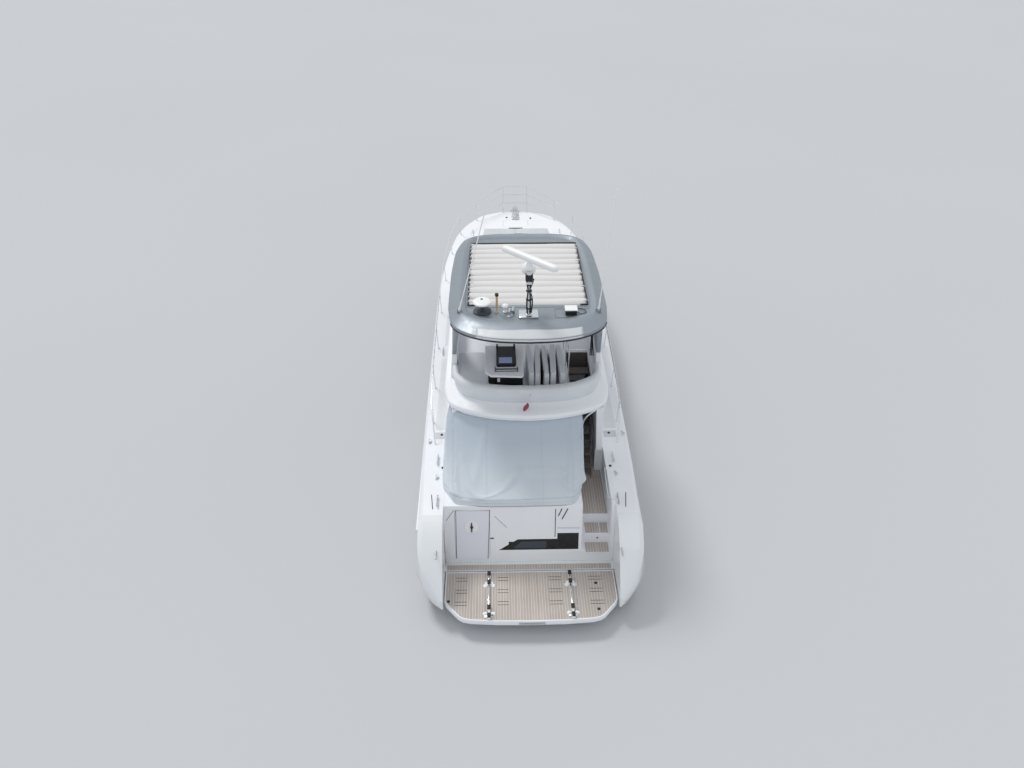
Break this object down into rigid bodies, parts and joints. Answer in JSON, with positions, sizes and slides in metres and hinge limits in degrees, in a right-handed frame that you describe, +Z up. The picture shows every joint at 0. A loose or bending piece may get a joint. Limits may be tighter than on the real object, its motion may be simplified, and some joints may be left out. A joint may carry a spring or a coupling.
{
  "type": "motor yacht",
  "caption": "Flybridge motor yacht with a hardtop, a swim platform on a lift, a canvas-covered cockpit, bow rails, twin propellers and rudders.",
  "frame": {"origin": "on the centreline at the waterline, 8.3 m ahead of the swim platform edge at the stern", "axes": "+Y to the bow, +X to starboard, +Z up"},
  "size_m": [4.9318, 16.46, 9.271],
  "materials": {
    "gelcoat": "white gel coat, glossy",
    "hull": "white gel coat, glossy",
    "transom": "pale grey gel coat",
    "teak": "bleached teak strips with dark caulking",
    "canvas": "pale blue-grey acrylic canvas",
    "vinyl": "pale grey-blue marine vinyl",
    "pad": "pale grey sunpad cover",
    "roof": "metallic mid grey",
    "soft_roof": "off-white pleated fabric",
    "steel": "polished stainless steel",
    "glass": "dark tinted",
    "black": "black, satin",
    "white": "white, glossy",
    "bronze": "propeller bronze",
    "dark": "dark grey, satin",
    "joinery": "varnished walnut"
  },
  "bodies": {
    "boat": {"hull": "hull", "cockpit": "gelcoat", "deck": "gelcoat", "foredeck": "gelcoat", "transom_window": "glass", "cockpit_teak": "teak", "shaft_bracket_port": "bronze", "shaft_bracket_stbd": "bronze", "foredeck_sunpad": "pad", "windlass": "steel", "anchor": "steel", "bow_rail": "steel", "deckhouse": "gelcoat", "side_glass_port": "glass", "side_glass_stbd": "glass", "windscreen": "glass", "saloon_pane": "glass", "fly_stairs": "steel", "lower_helm": "dark", "lower_seat": "vinyl", "saloon_sofa": "vinyl", "galley_counter": "joinery", "flybridge": "gelcoat", "fly_settee": "vinyl", "fly_bar": "gelcoat", "fly_grill": "black", "stored_cushions": "vinyl", "stair_rail": "steel", "fly_helm": "gelcoat", "fly_helm_seat": "vinyl", "fly_windscreen": "glass", "hardtop": "roof", "soft_roof": "soft_roof", "roof_post_port": "roof", "roof_post_stbd": "roof", "mast": "steel", "sat_dish": "white", "canvas_cover": "canvas"},
    "propeller_port": {"propeller_port": "bronze"},
    "propeller_stbd": {"propeller_stbd": "bronze"},
    "rudder_port": {"rudder_port": "bronze"},
    "rudder_stbd": {"rudder_stbd": "bronze"},
    "fly_wheel": {"fly_wheel": "dark"},
    "radar_scanner": {"radar_scanner": "white"},
    "crew_door": {"crew_door": "transom"},
    "saloon_door": {"saloon_door_frame": "steel", "saloon_door_glass": "glass"},
    "lift_upper": {"lift_arm_upper": "steel"},
    "lift_lower": {"lift_arm_lower": "steel"},
    "swim_platform": {"platform": "gelcoat", "platform_teak": "teak", "chock_port": "white", "chock_stbd": "white"},
    "anchor_locker_lid": {"anchor_locker_lid": "white"},
    "windlass_drum": {"windlass_drum": "steel"},
    "whip_port": {"whip_port": "white"},
    "whip_stbd": {"whip_stbd": "white"}
  },
  "joints": [
    {"name": "propeller_port_spin", "type": "hinge", "parent": "boat", "child": "propeller_port", "pos_m": [-1, -5.86, -0.86], "axis": [0, 0.9877, 0.1561], "continuous": true},
    {"name": "propeller_stbd_spin", "type": "hinge", "parent": "boat", "child": "propeller_stbd", "pos_m": [1, -5.86, -0.86], "axis": [0, 0.9877, 0.1561], "continuous": true},
    {"name": "rudder_port_turn", "type": "hinge", "parent": "boat", "child": "rudder_port", "pos_m": [-1, -6.38, -0.6], "axis": [0, 0, 1], "range_deg": [-35, 35]},
    {"name": "rudder_stbd_turn", "type": "hinge", "parent": "boat", "child": "rudder_stbd", "pos_m": [1, -6.38, -0.6], "axis": [0, 0, 1], "range_deg": [-35, 35]},
    {"name": "fly_wheel_turn", "type": "hinge", "parent": "boat", "child": "fly_wheel", "pos_m": [-0.32, 0.84, 3.98], "axis": [0, -0.848, 0.5299], "range_deg": [-420, 420]},
    {"name": "radar_scanner_spin", "type": "hinge", "parent": "boat", "child": "radar_scanner", "pos_m": [0, -4.6, 6.54], "axis": [0, 0, 1], "continuous": true},
    {"name": "crew_door_swing", "type": "hinge", "parent": "boat", "child": "crew_door", "pos_m": [-1.6, -6.5566, 1.18], "axis": [0, 0.2184, 0.9759], "range_deg": [-100, 0]},
    {"name": "saloon_door_slide", "type": "slide", "parent": "boat", "child": "saloon_door", "axis": [1, 0, 0], "range_m": [-1.1, 0]},
    {"name": "lift_upper_swing", "type": "hinge", "parent": "boat", "child": "lift_upper", "pos_m": [0, -6.72, -0.15], "axis": [1, 0, 0], "range_deg": [0, 80]},
    {"name": "lift_lower_swing", "type": "hinge", "parent": "boat", "child": "lift_lower", "pos_m": [0, -6.72, -0.35], "axis": [1, 0, 0], "range_deg": [0, 80]},
    {"name": "platform_level", "type": "hinge", "parent": "lift_upper", "child": "swim_platform", "pos_m": [0, -7.10302, 0.17139], "axis": [1, 0, 0], "range_deg": [-80, 0]},
    {"name": "anchor_locker_lid_swing", "type": "hinge", "parent": "boat", "child": "anchor_locker_lid", "pos_m": [0, 6.62, 2.444], "axis": [1, 0, 0], "range_deg": [0, 95]},
    {"name": "windlass_drum_spin", "type": "hinge", "parent": "boat", "child": "windlass_drum", "pos_m": [-0.03, 7.25, 2.65], "axis": [0, 0, 1], "continuous": true},
    {"name": "whip_port_fold", "type": "hinge", "parent": "boat", "child": "whip_port", "pos_m": [-1.42, -4.45, 5.545], "axis": [1, 0, 0], "range_deg": [0, 85]},
    {"name": "whip_stbd_fold", "type": "hinge", "parent": "boat", "child": "whip_stbd", "pos_m": [1.45, -4.45, 5.545], "axis": [1, 0, 0], "range_deg": [0, 85]}
  ],
  "couplings": [
    {"joint": "rudder_stbd_turn", "follows": "rudder_port_turn", "ratio": 1},
    {"joint": "fly_wheel_turn", "follows": "rudder_port_turn", "ratio": 12},
    {"joint": "lift_lower_swing", "follows": "lift_upper_swing", "ratio": 1},
    {"joint": "platform_level", "follows": "lift_upper_swing", "ratio": -1}
  ]
}
